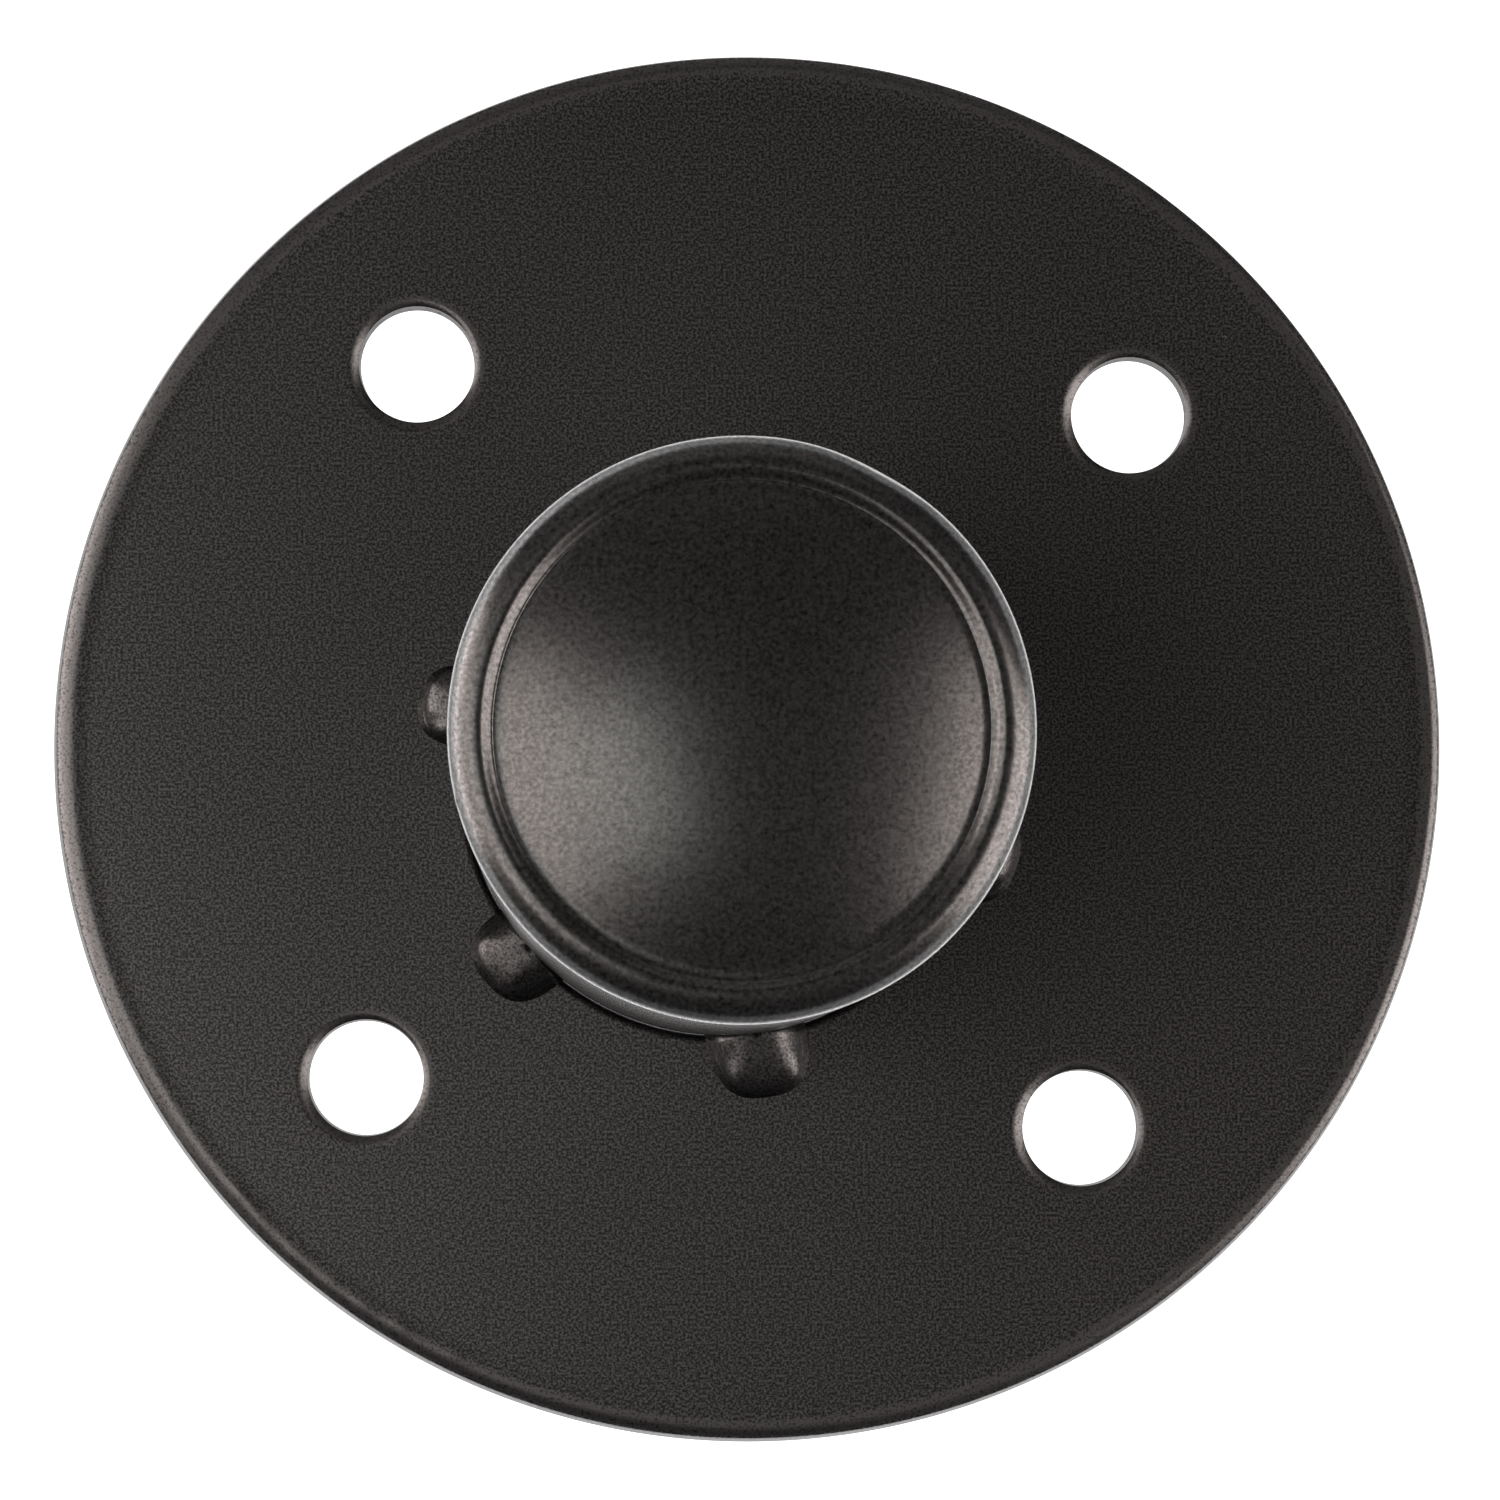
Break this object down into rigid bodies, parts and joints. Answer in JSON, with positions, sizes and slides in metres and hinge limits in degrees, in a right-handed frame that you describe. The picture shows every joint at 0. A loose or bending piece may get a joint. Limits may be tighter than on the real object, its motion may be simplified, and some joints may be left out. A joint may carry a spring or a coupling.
{
  "type": "pole socket flange",
  "caption": "Round steel flange plate with bolt holes and a closed, dome-ended tube welded through it, to seat a pole in a cabinet or panel; black powder coat.",
  "frame": {"origin": "centre of the round plate, on its flat underside, where the pole goes in", "axes": "+Z from the plate along the tube to its closed end; +X and +Y lie in the plate, with the first bolt hole 41 degrees anticlockwise from +X"},
  "size_m": [0.11, 0.11, 0.0879],
  "materials": {
    "plate_coat": "fine-textured matt black powder coat",
    "socket_coat": "satin black powder coat with faint orange peel",
    "weld_coat": "satin black powder coat, thick and smooth over weld metal"
  },
  "bodies": {
    "root": {"flange_plate": "plate_coat", "socket_tube": "socket_coat", "end_plug": "socket_coat", "weld_tack_1": "weld_coat", "weld_tack_2": "weld_coat", "weld_tack_3": "weld_coat", "weld_tack_4": "weld_coat", "weld_tack_5": "weld_coat", "weld_tack_6": "weld_coat"}
  },
  "joints": []
}
